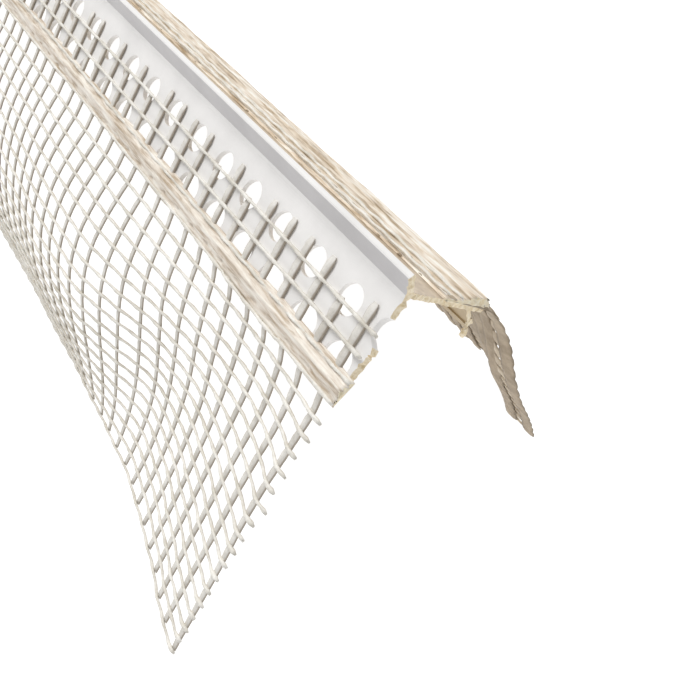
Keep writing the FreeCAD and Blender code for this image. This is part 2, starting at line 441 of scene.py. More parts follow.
def steps_along(near: float, fine: float, coarse: float) -> np.ndarray:
    """Choose places along the moulding, close together near the viewer and wider apart beyond.

    Args:
        near: The first place.
        fine: The step over the detailed length.
        coarse: The step beyond it.

    Returns:
        Places that fall from near to the far cut.
    """
    first = np.linspace(near, DETAIL_END, int(round((near - DETAIL_END) / fine)) + 1)
    rest = np.linspace(DETAIL_END, FAR_CUT, int(round((DETAIL_END - FAR_CUT) / coarse)) + 1)
    return np.concatenate([first, rest[1:]])


# ==== The plastic angle ====

# Steps of the saw cut, in metres
WELD = 0.00002
SAW_TOOTH = 0.0007
LONGEST_WHOLE_EDGE = 0.0011
IN_PLANE = 1e-6


@dataclass(frozen=True)
class PunchedRow:
    """One row of oval holes with the strip of the left leg that it is punched from."""

    distance: float
    above: float
    below: float
    half_length: float
    half_height: float
    shift: float


@dataclass
class PvcAngle:
    """The one-piece extrusion: two legs, a raised nose, a rib with a foot, two rows of holes."""

    wall: float = 1.1
    left_reach: float = 21.5
    right_reach: float = 27.0
    nose_height: float = 4.2
    nose_thickness: float = 1.4
    rib_distance: float = 22.8
    rib_thickness: float = 1.1
    rib_drop: float = 3.3
    rib_slope: float = 75.0
    foot_width: float = 1.8
    foot_depth: float = 1.6
    rows: tuple[PunchedRow, ...] = (
        PunchedRow(7.8, above=3.8, below=3.8, half_length=2.6, half_height=2.95, shift=0.0),
        PunchedRow(16.6, above=5.0, below=4.0, half_length=3.45, half_height=3.4, shift=-5.25),
    )
    hole_sides: int = 24
    # The saw's line: how far it stands past the cut by distance down the left leg, and how much
    # more for each millimetre of depth. The spare is trimmed off and the blend is what bends.
    saw_at: tuple[float, ...] = (0.5, 1.6, 3.3, 5.1, 6.2, 9.2, 9.9, 11.3, 16.0, 21.5)
    saw_past: tuple[float, ...] = (0.0, -0.1, -0.1, 0.1, 0.2, 0.3, 1.0, 1.2, 1.1, 1.0)
    saw_tilt: float = 0.55
    saw_spare: float = 1.7
    saw_blend: float = 3.5
    saw_roughness: float = 0.14
    burr_place: tuple[float, float, float] = (0.9, 17.5, 56.9)
    burr_size: tuple[float, float, float] = (0.65, 1.0, 1.6)

    def rib_point(self, drop: float, aside: float) -> tuple[float, float]:
        """Find a place on the rib, which hangs from the right leg's inner face.

        Args:
            drop: How far down the rib it is from its root.
            aside: How far it is off the rib's outer face.

        Returns:
            Its y and its z.
        """
        y, z = Side.RIGHT.point(self.rib_distance, -self.wall)
        fall = math.radians(self.rib_slope)
        return (
            y + drop * math.cos(fall) + aside * math.sin(fall),
            z - drop * math.sin(fall) + aside * math.cos(fall),
        )

    def open_section(self) -> list[tuple[float, float]]:
        """Trace the section from above the upper row on the outer face to there on the inner one.

        Returns:
            (y, z) points over the nose, down the right leg, round the rib and back up inside.
        """
        left, right, rib = Side.LEFT.point, Side.RIGHT.point, self.rib_point
        top = self.rows[0].distance - self.rows[0].above
        half, wall, drop = self.nose_thickness / 2, self.wall, self.rib_drop
        spread = (self.foot_width - self.rib_thickness) / 2
        lean = math.radians(self.rib_slope - RIGHT_SLOPE)
        inner_root = self.rib_distance - self.rib_thickness / math.sin(lean)
        corner, crown = CORNER_HEIGHT, CORNER_HEIGHT + self.nose_height
        inner_corner = corner - wall / math.cos(math.radians((LEFT_SLOPE + RIGHT_SLOPE) / 2))
        return [
            *(left(d) for d in (top, 3.0, 2.0)),
            # The nose, with a rounded root on each side and a worn crown
            (-half - 0.35, corner - half - 0.30),
            (-half, corner - half + 0.35),
            (-half, crown - 0.9),
            (-half + 0.02, crown - 0.75),
            (-half + 0.22, crown - 0.55),
            (half - 0.22, crown - 0.62),
            (half - 0.02, crown - 0.80),
            (half, crown - 1.0),
            (half, corner - 0.25),
            (half + 0.35, corner - 0.85),
            # The right leg's outer face and its rounded free edge
            *(right(d) for d in (2.4, 6.0, 10.5, 16.0, 21.0, self.right_reach)),
            right(self.right_reach + 0.15, -wall / 2),
            *(right(d, -wall) for d in (self.right_reach, 24.5, self.rib_distance)),
            # The rib and its foot
            rib(drop, 0.0),
            rib(drop, spread),
            rib(drop + self.foot_depth, spread),
            rib(drop + self.foot_depth, spread - self.foot_width),
            rib(drop, spread - self.foot_width),
            rib(drop, -self.rib_thickness),
            # The inner face, back to the rows
            *(right(d, -wall) for d in (inner_root, 15.0, 9.0, 4.0)),
            (0.05, inner_corner),
            left(top, -wall),
        ]

    def edge_section(self, low: float) -> list[tuple[float, float]]:
        """Trace the section of the strip below the rows, round the leg's free edge.

        Args:
            low: Distance of the strip's upper end.

        Returns:
            (y, z) points from the inner face to the outer one.
        """
        reach, wall = self.left_reach, self.wall
        path = ((low, -wall), (reach, -wall), (reach + 0.12, -wall / 2), (reach, 0.0), (low, 0.0))
        return [Side.LEFT.point(distance, lift) for distance, lift in path]

    def hole_cell(
        self, centre: float, row: PunchedRow
    ) -> tuple[list[tuple[float, float, float]], list[tuple[int, ...]]]:
        """Build one punched cell of the left leg, both faces and the wall of its hole.

        Args:
            centre: Place of the hole's centre along the moulding.
            row: The row that the hole belongs to.

        Returns:
            Points as (x, distance, lift) and faces.
        """
        count = self.hole_sides
        half, low, high = HOLE_PITCH / 2, row.below, -row.above
        border = [(half, 0), (half, low), (0, low), (-half, low), (-half, 0), (-half, high),
                  (0, high), (half, high)]
        corners = len(border)
        points = []
        for lift in (0.0, -self.wall):
            points += [(centre + x, row.distance + d, lift) for x, d in border]
            for step in range(count):
                angle = 2 * math.pi * step / count
                x = centre + row.half_length * math.cos(angle)
                points.append((x, row.distance + row.half_height * math.sin(angle), lift))
        faces = []
        per = count // corners
        middle = per // 2
        other = corners + count
        for sector in range(corners):
            after = (sector + 1) % corners
            rim = [corners + (sector * per + i) % count for i in range(per + 1)]
            upper = [(sector, rim[i + 1], rim[i]) for i in range(middle)]
            upper += [(sector, after, rim[middle])]
            upper += [(after, rim[i + 1], rim[i]) for i in range(middle, per)]
            for a, b, c in upper:
                faces += [(a, b, c), (other + c, other + b, other + a)]
        for step in range(count):
            a, b = corners + step, corners + (step + 1) % count
            faces.append((a, b, other + b, other + a))
        return points, faces

    def cell_count(self) -> int:
        """How many cells of one row reach past both cuts."""
        return int((NEAR_CUT - FAR_CUT) / HOLE_PITCH) + 3

    def perforated_band(self, maker: MeshMaker) -> None:
        """Add the two staggered rows of cells, reaching past both ends so they can be trimmed.

        Args:
            maker: Where they are added.
        """
        for row in self.rows:
            for index in range(-1, self.cell_count()):
                centre = NEAR_CUT + FIRST_HOLE + row.shift - index * HOLE_PITCH
                points, faces = self.hole_cell(centre, row)
                placed = [(x, *Side.LEFT.point(distance, lift)) for x, distance, lift in points]
                maker.add(np.array(placed), faces)

    def burr(self, maker: MeshMaker) -> None:
        """Add the curl of torn plastic that the saw left hanging from the rib's end.

        Args:
            maker: Where it is added.
        """
        rng = np.random.default_rng(23)
        tilt = np.linspace(0.25, math.pi - 0.25, 6)
        turn = np.arange(8) * math.pi / 4
        lumps = rng.normal(1.0, 0.10, (len(tilt), len(turn)))
        across = np.sin(tilt)[:, None] * lumps
        upright = np.cos(tilt)[:, None] * lumps
        points = np.stack([across * np.cos(turn), across * np.sin(turn), upright], axis=2)
        points = points * self.burr_size + self.burr_place
        points[:, :, 0] += NEAR_CUT
        maker.add(points, turned(ring_faces(len(tilt), len(turn))), slot=PvcSlot.SAWN)

    def build(self) -> list[bpy.types.Object]:
        """Make the extrusion as one closed mesh with a slightly ragged sawn end.

        Returns:
            The extrusion alone.
        """
        maker = MeshMaker("pvc_corner_profile_visual")
        self.perforated_band(maker)
        first = NEAR_CUT + FIRST_HOLE
        rings = 2 * self.cell_count() + 2
        ends = [first + (3 - index) * (HOLE_PITCH / 2) for index in range(rings)]
        low = self.rows[-1].distance + self.rows[-1].below
        for section in (self.open_section(), self.edge_section(low)):
            points = np.array([[(x, y, z) for y, z in section] for x in ends])
            maker.add(points, turned(ring_faces(rings, len(section), closed=False)))
        self.burr(maker)
        finishes = (PVC, PVC_CUT, PVC_INNER_SHADE, PVC_SMEARED, PVC_NOSE_SHADE)
        item = maker.piece([finish.made() for finish in finishes], smooth=False)
        self.saw(item)
        return [item]

    def saw(self, item: bpy.types.Object) -> None:
        """Trim both ends, close them and bend and roughen the near one as a saw leaves it.

        Args:
            item: The extrusion, still too long at both ends.
        """
        form = bmesh.new()
        form.from_mesh(item.data)
        bmesh.ops.remove_doubles(form, verts=form.verts, dist=WELD)
        near = (NEAR_CUT + self.saw_spare) * MM
        self.trim(form, near, 1.0)
        self.trim(form, FAR_CUT * MM, -1.0)
        self.tear(form, near)
        bmesh.ops.recalc_face_normals(form, faces=form.faces)
        for face in form.faces:
            if face.material_index == PvcSlot.PLAIN:
                face.material_index = self.finish_slot(face)
        form.to_mesh(item.data)
        form.free()

    def trim(self, form: bmesh.types.BMesh, place: float, sign: float) -> None:
        """Cut one end off and close it, the near one with points close enough to be torn.

        Args:
            form: The extrusion.
            place: The cut's place along the moulding, in metres.
            sign: The X direction that is cut off.
        """
        bmesh.ops.bisect_plane(
            form,
            geom=form.verts[:] + form.edges[:] + form.faces[:],
            plane_co=(place, 0, 0),
            plane_no=(sign, 0, 0),
            clear_outer=True,
        )
        bmesh.ops.remove_doubles(form, verts=form.verts, dist=WELD)
        if sign > 0:
            for edge in self.rim(form, place):
                if edge.calc_length() > LONGEST_WHOLE_EDGE:
                    cuts = max(1, int(edge.calc_length() / SAW_TOOTH))
                    bmesh.ops.subdivide_edges(form, edges=[edge], cuts=cuts)
        made = bmesh.ops.triangle_fill(form, use_beauty=True, edges=self.rim(form, place))
        for face in made["geom"]:
            if isinstance(face, bmesh.types.BMFace):
                face.material_index = PvcSlot.SAWN

    @staticmethod
    def rim(form: bmesh.types.BMesh, place: float) -> list[bmesh.types.BMEdge]:
        """Find the open edges in the plane of a cut, whose place is in metres."""
        return [
            edge
            for edge in form.edges
            if edge.is_boundary and all(abs(v.co.x - place) < IN_PLANE for v in edge.verts)
        ]

    def tear(self, form: bmesh.types.BMesh, near: float) -> None:
        """Move the near end onto the saw's line and roughen it.

        Args:
            form: The extrusion, trimmed.
            near: Where its near end is now, in metres.
        """
        rng = np.random.default_rng(11)
        for vert in form.verts:
            torn = float(rng.normal(0.0, 1.0)) if abs(vert.co.x - near) < IN_PLANE else 0.0
            back = (near - vert.co.x) / MM / (self.saw_spare + self.saw_blend)
            if back < 1.0:
                share = (1.0 - back) ** 2 * (1.0 + 2.0 * back)
                past = self.saw_line(vert.co.y / MM, vert.co.z / MM) - self.saw_spare
                vert.co.x += (past * share + torn * self.saw_roughness) * MM

    def saw_line(self, y: float, z: float) -> float:
        """Read the saw's line, which is straight but on the left leg.

        Args:
            y: A place of the section.
            z: Its height.

        Returns:
            How far the sawn end stands past the near cut there.
        """
        if y > -0.5:
            return 0.0
        distance, depth = Side.LEFT.unfold(y, z)
        past = float(np.interp(distance, self.saw_at, self.saw_past))
        return past + self.saw_tilt * min(max(depth, 0.0), self.wall)

    def finish_slot(self, face: bmesh.types.BMFace) -> PvcSlot:
        """Pick the slot of a face that isn't sawn.

        Args:
            face: A face of the extrusion.

        Returns:
            The right leg's inside and the nose's left side, both in painted shade, the smeared
            right leg or plain.
        """
        y, z = face.calc_center_median().yz / MM
        _, depth = Side.RIGHT.unfold(y, z)
        # Painted shade: the right leg's inner face and the rib
        if y > 2.0 and depth > self.wall * 0.8:
            return PvcSlot.INNER
        # Painted shade: the nose's left side
        if face.normal.y < -0.9 and y < 0.0 and z > CORNER_HEIGHT - 0.5:
            return PvcSlot.NOSE
        if y > 0.5 and face.normal.y > 0.5:
            return PvcSlot.SMEARED
        return PvcSlot.PLAIN

    def dress(self, items: list[bpy.types.Object]) -> None:
        """Fix the extrusion to the part.

        Args:
            items: The extrusion alone.
        """
        for item in items:
            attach(item, "root")
            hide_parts("pvc_corner_profile")


# ==== The mesh wings ====

# How the yarns wander down and up the cloth: height, length and phase of each wave
WANDER = ((0.10, 23.0, 1.0), (0.04, 7.3, 2.0))


@dataclass(frozen=True)
class HangTable:
    """How steeply a wing falls, by distance from the near cut and down from its leg."""

    cut_distance: tuple[float, ...]
    fall_distance: tuple[float, ...]
    slopes: tuple[tuple[float, ...], ...]


LEFT_HANG = HangTable(
    (0, 8, 18, 32, 48, 62, 76, 95, 120, 170),
    (0, 10, 25, 40, 55, 76.5),
    (
        (56, 56, 55, 59, 57, 59),
        (67, 66, 53, 58, 57, 57),
        (71, 71, 59, 58, 58, 56),
        (67, 69, 70, 63, 60, 52),
        (54, 61, 73, 73, 65, 54),
        (45, 52, 63, 73, 75, 69),
        (42, 44, 56, 73, 80, 82),
        (41, 43, 55, 71, 81, 88),
        (42, 46, 57, 70, 80, 90),
        (43, 49, 56, 68, 79, 93),
    ),
)
RIGHT_HANG = HangTable(
    (0, 10, 24, 60),
    (0, 10, 22, 32, 48, 71),
    (
        (52, 64, 79, 73, 65, 72),
        (51, 57, 66, 68, 57, 61),
        (51, 54, 58, 63, 67, 60),
        (50, 54, 58, 61, 62, 62),
    ),
)


def eased(at: np.ndarray, knots: tuple[float, ...], values: np.ndarray) -> np.ndarray:
    """Pass a smooth curve through values at knots, with no overshoot between them.

    Args:
        at: Where the curve is read.
        knots: Rising places of the values.
        values: One row for each knot.

    Returns:
        One row for each place.
    """
    knots_array = np.array(knots, float)
    at = np.clip(at, knots_array[0], knots_array[-1])
    gap = np.diff(knots_array)
    rise = np.diff(values, axis=0) / gap[:, None]
    slope = np.zeros_like(values)
    same = rise[1:] * rise[:-1] > 0
    mean = 2 * rise[1:] * rise[:-1] / np.where(same, rise[1:] + rise[:-1], 1.0)
    slope[1:-1] = np.where(same, mean, 0.0)
    slope[0], slope[-1] = rise[0], rise[-1]
    low = np.clip(np.searchsorted(knots_array, at, side="right") - 1, 0, len(gap) - 1)
    t = ((at - knots_array[low]) / gap[low])[:, None]
    width = gap[low][:, None]
    start = (2 * t**3 - 3 * t**2 + 1) * values[low] + (t**3 - 2 * t**2 + t) * width * slope[low]
    finish = (3 * t**2 - 2 * t**3) * values[low + 1] + (t**3 - t**2) * width * slope[low + 1]
    return start + finish


def travelled(rates: np.ndarray, step: np.ndarray) -> np.ndarray:
    """Add up how far a path has gone by each place along it.

    Args:
        rates: How fast it goes at each place, one row for each path.
        step: The lengths between the places.

    Returns:
        The distances gone, which start at zero.
    """
    gone = np.cumsum((rates[:, 1:] + rates[:, :-1]) / 2 * step, 1)
    return np.concatenate([np.zeros((len(rates), 1)), gone], 1)


@dataclass(kw_only=True)
class MeshWing:
    """One strip of glass-fibre mesh: twisted yarns along the moulding over flat ones across it.

    The warps are the yarns along the moulding and the wefts those across it. The lap is the part
    that lies on the leg, and the rest hangs.
    """

    name: str
    side: Side
    hang: HangTable
    lap_top: float
    lap_end: float
    rests_on: tuple[str, ...]
    seed: int
    edge_height: float = 0.7
    over_holes: bool = False
    hole_clear: float = 1.7

    # Warps, with how far their ends stand past the near cut by distance down
    lap_warps: tuple[float, ...]
    hanging_warps: int
    overrun_down: tuple[float, ...]
    end_overrun: tuple[float, ...]
    proud_warps: int
    proud_rise: float
    warp_finish: Finish = WARP_YARN
    warp_half_width: float = 0.36
    warp_half_height: float = 0.32
    warp_lap_half_width: float = 0.36
    hem_half_width: float = 0.8
    warp_spread: float = 1.12
    warp_gap: float = 0.12
    twisted: bool = True
    crimp: float = 0.10
    knot: float = 0.45

    # Wefts, with how far they have slid along the moulding by distance down
    weft_skew_down: tuple[float, ...]
    weft_skew: tuple[float, ...]
    weft_finish: Finish = WEFT_YARN
    weft_half_width: float = 0.8
    weft_lap_half_width: float = 1.0
    weft_half_height: float = 0.28
    weft_lap_half_height: float = 0.42
    weft_tail: float = 0.35
    weft_dip: float = 0.12
    weft_pinch: float = 0.16

    # Where the hanging cloth goes, by distance from the near cut and down from the leg
    falls: np.ndarray = field(init=False)
    cuts: np.ndarray = field(init=False)
    reach_out: np.ndarray = field(init=False)
    height: np.ndarray = field(init=False)

    def __post_init__(self) -> None:
        """Work out where the hanging cloth goes, section by section."""
        table = self.hang
        self.falls = np.linspace(0.0, table.fall_distance[-1], 64)
        self.cuts = np.concatenate(
            [np.arange(0.0, table.cut_distance[-1], 2.0), [table.cut_distance[-1]]]
        )
        slopes = eased(self.cuts, table.cut_distance, np.radians(np.array(table.slopes, float)))
        slopes = eased(self.falls, table.fall_distance, slopes.T).T
        step = np.diff(self.falls)
        down = travelled(np.sin(slopes), step)
        start_out, start_height = self.side.point(self.lap_end)
        down *= (start_height - self.edge_height) / down[:, -1:]
        self.reach_out = self.side.value * start_out + travelled(np.cos(slopes), step)
        self.height = start_height - down

    def place(self, x: np.ndarray, distance: np.ndarray) -> tuple[np.ndarray, np.ndarray]:
        """Find points of the cloth and the directions square to it.

        Args:
            x: Places along the moulding.
            distance: Distances down from the corner along the cloth.

        Returns:
            N by 3 points and N by 3 unit directions that point outward.
        """
        fall, sign = self.side.fall, self.side.value
        past = np.clip(distance - self.lap_end, 0.0, self.falls[-1])
        back = np.clip(NEAR_CUT - x, 0.0, self.cuts[-1])
        row = np.clip(np.searchsorted(self.cuts, back, side="right") - 1, 0, len(self.cuts) - 2)
        share = (back - self.cuts[row]) / (self.cuts[row + 1] - self.cuts[row])
        spot = past / self.falls[-1] * (len(self.falls) - 1)
        column = np.clip(spot.astype(int), 0, len(self.falls) - 2)
        part = spot - column
        found = []
        for grid in (self.reach_out, self.height):
            low = grid[row, column] * (1 - part) + grid[row, column + 1] * part
            high = grid[row + 1, column] * (1 - part) + grid[row + 1, column + 1] * part
            found.append(low * (1 - share) + high * share)
        out, height = found
        tangent_out = self.reach_out[row, column + 1] - self.reach_out[row, column]
        tangent_down = self.height[row, column] - self.height[row, column + 1]
        on_leg = distance < self.lap_end
        leg_y, leg_z = self.side.point(distance)
        y, z = np.where(on_leg, leg_y, sign * out), np.where(on_leg, leg_z, height)
        tangent_out = np.where(on_leg, math.cos(fall), tangent_out)
        tangent_down = np.where(on_leg, math.sin(fall), tangent_down)
        size = np.hypot(tangent_out, tangent_down)
        lift = np.stack([np.zeros_like(x), sign * tangent_down / size, tangent_out / size], axis=1)
        return np.stack([x, y, z], axis=1), lift

    def warp_places(self) -> list[float]:
        """List the warps' distances from the corner, on the lap and then hanging."""
        last = self.lap_warps[-1]
        return [*self.lap_warps, *(last + WARP_PITCH * (i + 1) for i in range(self.hanging_warps))]

    def weft_bottom(self) -> float:
        """Distance of the wefts' lower ends, just past the lowest warp."""
        return self.warp_places()[-1] + self.weft_tail

    def weft_lift(self, distance: np.ndarray) -> np.ndarray:
        """How high the wefts lie above the cloth's own line, fading within 3 mm below the leg."""
        on_leg = np.clip((self.lap_end + 3.0 - distance) / 3.0, 0.0, 1.0)
        return 0.7 * self.weft_lap_half_height * on_leg

    def crosses_hole(self, x: float) -> bool:
        """Whether a weft's tail would lie over a hole of the upper row, and is cut short."""
        off = (NEAR_CUT + FIRST_HOLE - x) % HOLE_PITCH
        return self.over_holes and min(off, HOLE_PITCH - off) < self.hole_clear

    def overrun(self, distance: float) -> float:
        """How far a warp's end stands past the near cut."""
        return float(np.interp(distance, self.overrun_down, self.end_overrun))

    def skew(self, distance: Number) -> Number:
        """How far the wefts have slid along the moulding at a distance down."""
        return np.interp(distance, self.weft_skew_down, self.weft_skew)

    def warp_width(self, distance: float) -> float:
        """Find half the width of a warp.

        Args:
            distance: Its distance from the corner.

        Returns:
            Half its width where it is neither swollen nor worn.
        """
        if distance in self.lap_warps:
            return self.warp_lap_half_width
        if distance == self.warp_places()[-1]:
            return min(self.warp_half_width, self.hem_half_width)
        return self.warp_half_width

    def warps(self) -> MeshMaker:
        """Build the warps, twisted and crimped over the wefts where they can be seen close to.

        Returns:
            All of them, ready to be made into one piece.
        """
        maker = MeshMaker(f"{self.name}_warp_yarns")
        rng = np.random.default_rng(self.seed)
        for distance in self.warp_places():
            near = NEAR_CUT + self.overrun(distance) + float(rng.normal(0.0, 0.25))
            x = steps_along(near, 0.95, 11.4)
            # One more ring just past the change keeps the coarse yarn's end from shading dark
            x = np.sort(np.append(x, DETAIL_END - 1.5))[::-1]
            close = x > DETAIL_END - 1.0
            wander = sum(high * np.sin(x / long + turn * distance) for high, long, turn in WANDER)
            down = distance + np.where(close, wander, 0.0)
            weft = NEAR_CUT - FIRST_WEFT + self.skew(distance)
            phase = (weft - x) / WEFT_PITCH * 2 * math.pi
            wave = np.where(close, self.crimp * np.cos(phase), 0.0)

            points, lift = self.place(x, down)
            rise = 0.95 * self.weft_lift(down) + self.weft_half_height + self.warp_gap + wave
            if distance in self.lap_warps[: self.proud_warps]:
                rise = rise + self.proud_rise
            points = points + lift * rise[:, None]

            # A twisted yarn ends in a small knot, a flat one tapers over its last few millimetres
            swell = 1.0 + wave
            if self.twisted:
                swell = swell + self.knot * np.exp(-(((near - x) - 1.1) / 0.9) ** 2)
            else:
                swell = swell * np.clip(0.6 + (near - x) / 6.0, 0.0, 1.0)
            swell[0] *= 0.75
            wide = self.warp_width(distance) * self.warp_spread * swell
            high = self.warp_half_height * swell
            turns = np.where(close, phase * 0.5 + distance, 0.0) * float(self.twisted)

            change = int(close.sum())
            for run, sides in ((slice(change), CLOSE_SIDES), (slice(change - 1, None), FAR_SIDES)):
                twist = turns[run] if sides == CLOSE_SIDES else None
                yarn = strand(points[run], lift[run], wide[run], high[run], sides, twist)
                maker.add(*yarn, slot=int(distance in self.lap_warps))
        return maker

    def wefts(self) -> MeshMaker:
        """Build the wefts, which pass under the warps from the lap to the lower edge.

        Returns:
            All of them, ready to be made into one piece.
        """
        maker = MeshMaker(f"{self.name}_weft_yarns")
        rng = np.random.default_rng(self.seed + 40)
        warp_places = np.array(self.warp_places())
        bottom = self.weft_bottom()
        first = NEAR_CUT - FIRST_WEFT
        for index in range(int((first - FAR_CUT) / WEFT_PITCH)):
            start = first - WEFT_PITCH * index
            close = start > DETAIL_END
            top = self.lap_top + float(rng.normal(0.0, 0.18))
            if self.crosses_hole(start):
                top = self.lap_warps[0] - 0.3
            step = 1.5 if close else 4.5
            down = np.linspace(top, bottom, int(round((bottom - top) / step)) + 1)
            drift = 0.12 * np.sin(down / 11.0 + index * 1.7) + float(rng.normal(0.0, 0.14))
            points, lift = self.place(start + self.skew(down) + drift, down)

            # Under each warp a weft dips and is pinched, and on the lap it is rounder
            under = np.exp(-((down[:, None] - warp_places[None, :]) / 1.0) ** 2).sum(1)
            rise = self.weft_lift(down) + (-self.weft_dip * under if close else 0.0)
            points = points + lift * rise[:, None]
            lap = np.clip((self.lap_end + 2.0 - down) / 4.0, 0.0, 1.0)
            wide = self.weft_half_width * (1 - lap) + self.weft_lap_half_width * lap
            wide = wide * (1.0 - self.weft_pinch * under)
            high = self.weft_half_height * (1 - lap) + self.weft_lap_half_height * lap
            wide[0], high[0] = 0.6 * wide[0], 0.3 * high[0]
            maker.add(*strand(points, lift, wide, high, CLOSE_SIDES if close else FAR_SIDES))
        return maker

    def build(self) -> list[bpy.types.Object]:
        """Make the two joined meshes of the wing.

        Returns:
            The wefts, then the warps.
        """
        return [
            self.wefts().piece([self.weft_finish.made()]),
            self.warps().piece([self.warp_finish.made(), WARP_YARN.made()]),
        ]

    def dress(self, items: list[bpy.types.Object]) -> None:
        """Fix the wing to the part.

        Args:
            items: The wefts, then the warps.
        """
        for item in items:
            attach(item, "root")
            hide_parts(self.name)


# ==== The glue ====

# Lengths of the waves that make the glue uneven along the leg
GLUE_WAVES = (31.0, 12.0, 5.0, 2.3)


@dataclass(frozen=True)
class Ridge:
    """A ridge along the glue, as the nozzle leaves it."""

    place: float
    width: float
    rise: float


@dataclass(kw_only=True)
class GlueBand:
    """A bead of hot-melt glue drawn along one leg over the mesh, with a crest by distance down."""

    name: str
    side: Side
    finish: Finish
    seed: int
    crest_places: tuple[float, ...]
    crest_heights: tuple[float, ...]
    ridges: tuple[Ridge, ...]
    pit_place: float
    pit_depth: float
    pit_length: float = 0.16
    pit_width: float = 0.45
    least_height: float = 0.06
    base: float = 0.03
    near_overrun: float = 0.3
    end_roughness: float = 0.2

    def height_at(self, x: np.ndarray, down: np.ndarray, uneven: np.ndarray) -> np.ndarray:
        """Find the glue's thickness over the leg.

        Args:
            x: Places along the moulding.
            down: Distances from the corner.
            uneven: Slow unevenness, one row for each place along.

        Returns:
            Thickness, one row for each place along.
        """
        body = np.interp(down, self.crest_places, self.crest_heights)[None, :]
        height = body * (1.0 + 0.10 * uneven)
        for ridge in self.ridges:
            sway = 0.18 * np.sin(x / 17.0 + ridge.place)[:, None]
            aside = (down[None, :] - ridge.place - sway) / ridge.width
            height = height + ridge.rise * np.exp(-(aside**2))
        # Between two wefts the glue sinks into the mesh
        phase = ((NEAR_CUT - FIRST_WEFT - x) / WEFT_PITCH) % 1.0 - 0.45
        pits = np.exp(-((phase / self.pit_length) ** 2))[:, None]
        pits = pits * np.exp(-(((down[None, :] - self.pit_place) / self.pit_width) ** 2))
        height = height - self.pit_depth * pits * (0.7 + 0.3 * uneven)
        return np.maximum(height, self.least_height)

    def build(self) -> list[bpy.types.Object]:
        """Make the bead as one closed mesh with a cut end.

        Returns:
            The bead alone.
        """
        rng = np.random.default_rng(self.seed)
        x = steps_along(NEAR_CUT + self.near_overrun, 0.85, 10.0)
        down = np.linspace(self.crest_places[0], self.crest_places[-1], 30)
        uneven = sum(
            np.sin(x[:, None] / wave + down[None, :] / (0.35 * wave**0.5) + rng.uniform(0, 6))
            for wave in GLUE_WAVES
        ) / len(GLUE_WAVES)
        height = self.height_at(x, down, uneven)
        # Both edges of the bead sway, and its middle stays
        edge = 0.25 * np.sin(x / 9.0 + self.seed) + 0.15 * np.sin(x / 3.1)
        down_at = down[None, :] + np.outer(edge, np.linspace(-1, 1, len(down)) ** 3)
        rings = []
        for place, across, thick in zip(x, down_at, height):
            distance = np.append(across, [across[-1], across[0]])
            y, z = self.side.point(distance, np.append(thick, [self.base, self.base]))
            rings.append(np.stack([np.full(len(y), place), y, z], 1))
        points = np.array(rings)
        points[0, :, 0] += rng.normal(0.0, self.end_roughness, points.shape[1])
        faces = ring_faces(*points.shape[:2])
        maker = MeshMaker(f"{self.name}_visual")
        maker.add(points, faces if self.side is Side.LEFT else turned(faces))
        maker.slots[-2:] = [1, 1]
        return [maker.piece([self.finish.made(), GLUE_CUT.made()])]

    def dress(self, items: list[bpy.types.Object]) -> None:
        """Fix the bead to the part.

        Args:
            items: The bead alone.
        """
        for item in items:
            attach(item, "root")
            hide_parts(self.name)


# ==== Studio ====


